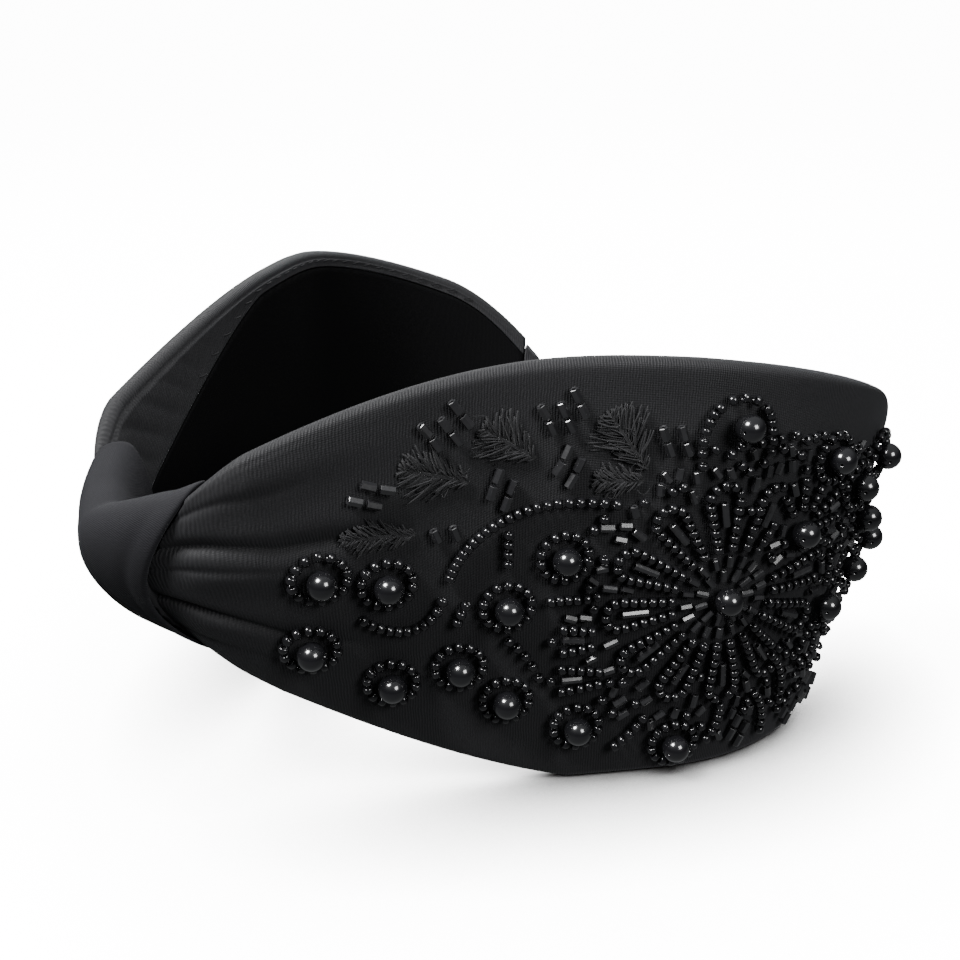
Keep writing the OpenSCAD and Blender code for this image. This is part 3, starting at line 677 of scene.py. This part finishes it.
def make_stitches(name, node, towards):
    """Two-ply threads in place of the CAD stitches. Their ends go into the cloth, away from (-towards, 0)."""
    strands = []
    for i, solid in enumerate(islands(node)):
        if len(solid) < 8:
            continue
        centre, axis, length, radius = measure(solid)
        k = np.linspace(-0.5, 0.5, 9)
        inward = np.array([-centre[0], -centre[1], 0.0]) + np.array([towards, 0, 0])
        inward = inward / np.linalg.norm(inward)
        for turn in (0.0, math.pi):
            twist = 0.05 * np.stack([np.cos(k * 14 + turn), np.sin(k * 14 + turn), 0 * k], -1)
            dip = -0.30 * (2 * k) ** 4
            line = centre + np.outer(k * length, axis) + np.outer(dip, inward) + twist
            strands.append(strand(line, radius * 0.75, 6))
    return gather(name, strands)


# ---------------------------------------------------------------- materials
def node_tree(name):
    m = bpy.data.materials.new(name)
    m.use_nodes = True
    tree = m.node_tree
    return m, tree, tree.nodes["Principled BSDF"]


def put(socket, value):
    socket.default_value = value


def math_node(tree, operation, *values, clamp=False):
    n = tree.nodes.new("ShaderNodeMath")
    n.operation = operation
    n.use_clamp = clamp
    for socket, v in zip(n.inputs, values):
        if isinstance(v, (int, float)):
            socket.default_value = v
        else:
            tree.links.new(v, socket)
    return n.outputs[0]


def noise(tree, vector, scale, detail=3.0, rough=0.5):
    n = tree.nodes.new("ShaderNodeTexNoise")
    put(n.inputs["Scale"], scale)
    put(n.inputs["Detail"], detail)
    put(n.inputs["Roughness"], rough)
    tree.links.new(vector, n.inputs["Vector"])
    return n.outputs["Fac"]


def blended(tree, factor, dark, light):
    """A colour between dark and light."""
    mix = tree.nodes.new("ShaderNodeMix")
    mix.data_type = "RGBA"
    put(mix.inputs[6], (*dark, 1))
    put(mix.inputs[7], (*light, 1))
    tree.links.new(factor, mix.inputs[0])
    return mix.outputs[2]


def roughen(tree, bsdf, height, strength, distance):
    """Bump from a height."""
    bump = tree.nodes.new("ShaderNodeBump")
    put(bump.inputs["Strength"], strength)
    put(bump.inputs["Distance"], distance)
    tree.links.new(height, bump.inputs["Height"])
    tree.links.new(bump.outputs[0], bsdf.inputs["Normal"])


def scaled(tree, value, by):
    return math_node(tree, "MULTIPLY", value, by)


def fabric(name, dark, light, pitch, weft, rib, sheen, rough, twill=0.0, level=0.25):
    """Woven cloth from its flat coordinates in millimetres: ribs, weft threads and slow shade changes."""
    m, tree, bsdf = node_tree(name)
    uv = tree.nodes.new("ShaderNodeUVMap")
    uv.uv_map = "flat"
    where = tree.nodes.new("ShaderNodeTexCoord").outputs["Object"]
    warp = noise(tree, uv.outputs[0], 0.35, 2.0)
    split = tree.nodes.new("ShaderNodeSeparateXYZ")
    tree.links.new(uv.outputs[0], split.inputs[0])
    shake = scaled(tree, warp, pitch * 1.3)
    u = math_node(tree, "ADD", split.outputs[0], shake)
    v = split.outputs[1]
    across = math_node(tree, "ADD", u, scaled(tree, v, twill))
    ribs = math_node(tree, "SINE", scaled(tree, across, 2 * math.pi / pitch))
    threads = math_node(tree, "SINE", scaled(tree, v, 2 * math.pi / weft))
    weave = math_node(tree, "ADD", scaled(tree, ribs, rib), scaled(tree, threads, 0.35 * rib))
    yarn = noise(tree, uv.outputs[0], 2.4, 4.0, 0.65)
    height = math_node(tree, "ADD", weave, scaled(tree, yarn, 0.9))
    roughen(tree, bsdf, height, 0.55, 0.00012)
    slow = noise(tree, where, 45.0, 3.0)
    tone = math_node(tree, "ADD", scaled(tree, ribs, 0.10), scaled(tree, yarn, 0.55))
    tone = math_node(tree, "ADD", tone, scaled(tree, slow, 0.35), clamp=True)
    tree.links.new(blended(tree, tone, dark, light), bsdf.inputs["Base Color"])
    worn = math_node(tree, "ADD", rough, scaled(tree, slow, 0.12), clamp=True)
    tree.links.new(worn, bsdf.inputs["Roughness"])
    put(bsdf.inputs["Specular IOR Level"], level)
    put(bsdf.inputs["Sheen Weight"], sheen)
    put(bsdf.inputs["Sheen Roughness"], 0.45)
    put(bsdf.inputs["Sheen Tint"], (0.75, 0.77, 0.82, 1))
    return m


def glossy(name, dark, light, rough, scale, bumpiness, coat=0.0, ior_level=0.5):
    """Pearl, glass or plastic with faint uneven shade and scuffs."""
    m, tree, bsdf = node_tree(name)
    where = tree.nodes.new("ShaderNodeTexCoord").outputs["Object"]
    shade = noise(tree, where, scale, 3.0)
    tree.links.new(blended(tree, shade, dark, light), bsdf.inputs["Base Color"])
    scuff = noise(tree, where, scale * 3.1, 4.0, 0.7)
    worn = math_node(tree, "ADD", rough, scaled(tree, scuff, rough * 0.8))
    tree.links.new(worn, bsdf.inputs["Roughness"])
    roughen(tree, bsdf, shade, bumpiness, 0.0001)
    put(bsdf.inputs["IOR"], 1.54)
    put(bsdf.inputs["Specular IOR Level"], ior_level)
    put(bsdf.inputs["Coat Weight"], coat)
    put(bsdf.inputs["Coat Roughness"], 0.05)
    return m


def threadlike(name, dark, light, rough, sheen):
    """Matt thread with its plies."""
    m, tree, bsdf = node_tree(name)
    where = tree.nodes.new("ShaderNodeTexCoord").outputs["Object"]
    ply = noise(tree, where, 1900.0, 3.0, 0.6)
    tree.links.new(blended(tree, ply, dark, light), bsdf.inputs["Base Color"])
    worn = math_node(tree, "ADD", rough, scaled(tree, ply, 0.15), clamp=True)
    tree.links.new(worn, bsdf.inputs["Roughness"])
    roughen(tree, bsdf, ply, 0.6, 0.0001)
    put(bsdf.inputs["Sheen Weight"], sheen)
    put(bsdf.inputs["Sheen Roughness"], 0.5)
    put(bsdf.inputs["Specular IOR Level"], 0.25)
    return m


COVER = fabric("ribbed_cloth", (0.003, 0.003, 0.0035), (0.014, 0.014, 0.0155), 0.50, 0.30, 0.62, 0.05, 0.6)
WRAP = fabric("twill_cloth", (0.005, 0.005, 0.006), (0.014, 0.014, 0.016), 0.30, 0.26, 0.3, 0.03, 0.7,
              twill=0.6, level=0.12)
# black lining, its colour made far darker than the outer cloth as painted shade for the band's shaded inside
LINING_PAINTED_SHADE = fabric("lining_cloth_painted_shade", (0.0006, 0.0006, 0.0007), (0.0025, 0.0025, 0.0028), 0.40, 0.36, 0.4, 0.0, 0.8,
                level=0.06)
FELT = fabric("felt", (0.10, 0.10, 0.105), (0.20, 0.20, 0.21), 1.7, 1.3, 0.15, 0.2, 0.9)
CORE = glossy("core_plastic", (0.05, 0.05, 0.05), (0.08, 0.08, 0.08), 0.4, 300.0, 0.2)
PEARL = glossy("black_pearl", (0.003, 0.003, 0.0035), (0.006, 0.006, 0.007), 0.13, 260.0, 0.10, coat=0.5)
SEED_GLASS = glossy("seed_glass", (0.003, 0.003, 0.0035), (0.008, 0.008, 0.009), 0.11, 700.0, 0.25)
CUT_GLASS = glossy("cut_glass", (0.004, 0.004, 0.005), (0.012, 0.012, 0.013), 0.22, 500.0, 0.12,
                   coat=0.08, ior_level=0.8)
THREAD = threadlike("embroidery_thread", (0.002, 0.002, 0.0025), (0.012, 0.012, 0.0135), 0.7, 0.08)
HEM_THREAD = threadlike("hem_thread", (0.002, 0.002, 0.0025), (0.007, 0.007, 0.008), 0.8, 0.0)


def paint(piece, material, body, slot, *nodes):
    """Gives a piece its material and body, and hides the CAD nodes it stands for. The slot is not used."""
    piece.data.materials.clear()
    piece.data.materials.append(material)
    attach(piece, body)
    if nodes:
        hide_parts(*nodes)
    return piece


# ---------------------------------------------------------------- the two arms
BEND_START, BEND_END = 6.0, 20.0    # two places along the core strip, along the arm, where it would bend; their points are found but nothing bends it
# bead pieces: piece, CAD node, kind, material and slot
BEAD_WORK = (("_ring_seeds", "_ring_beads", "seed", SEED_GLASS, "seed"),
             ("_string_seeds", "_string_beads", "seed", SEED_GLASS, "seed"),
             ("_long_tubes", "_long_bugles", "long", CUT_GLASS, "bugle"),
             ("_cut_tubes", "_cut_bugles", "cut", CUT_GLASS, "bugle"))


def core_point(s, side):
    """A point in the middle of the core strip, in metres."""
    x, y, z = spot(np.float64(s), tall(np.float64(s)) / 2, 4.0) * MM
    return x, side * y, z


for arm, right in (("left", False), ("right", True)):
    body = arm + "_arm"
    cover = paint(make_cover(arm + "_outer_cloth", right), COVER, body, "cloth", arm + "_cover")
    lining = paint(make_lining(arm + "_lining_cloth_painted_shade", right), LINING_PAINTED_SHADE, body, "lining", arm + "_lining")
    felt = paint(make_pad(arm + "_felt", right), FELT, body, "pad", arm + "_pad")
    paint(make_cuff(arm + "_cuff_cloth", right), COVER, body, "cloth", arm + "_end_cuff")
    paint(sew_pearls(arm + "_pearl_beads", arm + "_pearls"), PEARL, body, "pearl", arm + "_pearls")
    for piece_name, node, kind, glass, slot in BEAD_WORK:
        paint(sew_beads(arm + piece_name, arm + node, kind), glass, body, slot, arm + node)
    paint(make_leaves(arm + "_leaf_threads", right), THREAD, body, "thread", arm + "_thread_leaves")
    hem = make_stitches(arm + "_hem_threads", arm + "_hem_stitches", 0.0)
    paint(hem, HEM_THREAD, body, "thread", arm + "_hem_stitches")
    core = make_core(arm + "_core_strip", right)
    core.data.materials.append(CORE)
    side = -1.0 if right else 1.0
    core_point(BEND_START, side)
    core_point(BEND_END, side)
    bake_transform(core)
    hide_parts("core_band")

# ---------------------------------------------------------------- the knot
wrap = paint(make_wrap("knot_band_cloth"), WRAP, "knot", "wrap_cloth", "knot_wrap")
paint(make_bundle("gathered_cloth"), COVER, "knot", "cloth", "knot_bundle")
paint(make_sleeve("core_tape"), LINING_PAINTED_SHADE, "knot", "lining", "core_sleeve")
paint(make_stitches("wrap_threads", "wrap_stitches", 200.0), HEM_THREAD, "knot", "thread", "wrap_stitches")

for name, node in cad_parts.items():
    if not node.data.materials or node.hide_render:
        node.data.materials.clear()
        node.data.materials.append(CORE if name == "core_band" else COVER)

# ---------------------------------------------------------------- floor, light and camera
FLOOR_HALF, FLOOR_Z = 12000.0, -0.05
corners = [(x * FLOOR_HALF, y * FLOOR_HALF, FLOOR_Z) for x, y in ((-1, -1), (1, -1), (1, 1), (-1, 1))]
floor = build("floor", corners, [(0, 1, 2, 3)])
paper, paper_tree, paper_bsdf = node_tree("white_paper_painted_shadow")
# painted contact shadow: the paper's colour is darkened by ambient occlusion near the band, raised to a power
near = paper_tree.nodes.new("ShaderNodeAmbientOcclusion")
near.samples = 12
put(near.inputs["Distance"], 0.032)
shade = scaled(paper_tree, math_node(paper_tree, "POWER", near.outputs["AO"], 2.6), 0.92)
painted_shadow_grey = paper_tree.nodes.new("ShaderNodeCombineColor")
for channel in ("Red", "Green", "Blue"):
    paper_tree.links.new(shade, painted_shadow_grey.inputs[channel])
paper_tree.links.new(painted_shadow_grey.outputs[0], paper_bsdf.inputs["Base Color"])
put(paper_bsdf.inputs["Roughness"], 0.9)
put(paper_bsdf.inputs["Specular IOR Level"], 0.0)
floor.data.materials.append(paper)
floor.visible_diffuse = False
floor.visible_glossy = False

world = bpy.data.worlds.new("studio")
bpy.context.scene.world = world
world.use_nodes = True
sky_tree = world.node_tree
sky_way = sky_tree.nodes.new("ShaderNodeTexCoord")
sky_split = sky_tree.nodes.new("ShaderNodeSeparateXYZ")
sky_tree.links.new(sky_way.outputs["Generated"], sky_split.inputs[0])
sky_ramp = sky_tree.nodes.new("ShaderNodeValToRGB")
sky_tree.links.new(math_node(sky_tree, "MULTIPLY_ADD", sky_split.outputs[2], 0.5, 0.5), sky_ramp.inputs[0])
# brightness from straight down to straight up
SKY = ((0.0, 0.26), (0.36, 0.14), (0.46, 0.03), (0.60, 0.04), (0.78, 0.24), (1.0, 0.48))
while len(sky_ramp.color_ramp.elements) < len(SKY):
    sky_ramp.color_ramp.elements.new(0.5)
for element, (where_at, value) in zip(sky_ramp.color_ramp.elements, SKY):
    element.position = where_at
    element.color = (value * 0.95, value * 0.98, value, 1)
sky_tree.links.new(sky_ramp.outputs[0], sky_tree.nodes["Background"].inputs["Color"])
put(sky_tree.nodes["Background"].inputs["Strength"], 1.0)


def lamp(name, kind, at, target, energy):
    data = bpy.data.lights.new(name, kind)
    data.energy = energy
    o = bpy.data.objects.new(name, data)
    o.location = at
    o.rotation_euler = (Vector(target) - Vector(at)).to_track_quat("-Z", "Y").to_euler()
    bpy.context.scene.collection.objects.link(o)
    return o


def soft_box(name, at, energy, size):
    o = lamp(name, "AREA", at, (0.0, 0.0, 0.04), energy)
    o.data.shape = "RECTANGLE"
    o.data.size = size
    o.data.size_y = size


# the sun lights only the floor, so the paper stays white beside the black cloth
paper_light = lamp("paper_light", "SUN", (0.1, 0.0, 1.0), (0.0, 0.0, 0.0), 46.0)
paper_light.data.angle = math.radians(95)
only_floor = bpy.data.collections.new("paper_only")
only_floor.objects.link(floor)
paper_light.light_linking.receiver_collection = only_floor
soft_box("soft_key", (0.40, -0.02, 0.62), 17.0, 0.20)
soft_box("soft_side", (0.05, 0.62, 0.42), 5.0, 0.26)
soft_box("soft_back", (-0.35, -0.45, 0.55), 5.0, 0.40)

camera_data = bpy.data.cameras.new("camera")
camera = bpy.data.objects.new("camera", camera_data)
bpy.context.scene.collection.objects.link(camera)
bpy.context.scene.camera = camera
camera_data.lens = 50.0
camera_data.sensor_width = 36.0
camera_data.clip_start = 0.01
camera.location = (0.1593, 0.1818, 0.1428)
aim = Vector((-0.0026, 0.0092, 0.0445))
camera.rotation_euler = (aim - camera.location).to_track_quat("-Z", "Y").to_euler()
camera_data.shift_x = -0.0022
camera_data.shift_y = 0.0171

bpy.context.view_layer.update()
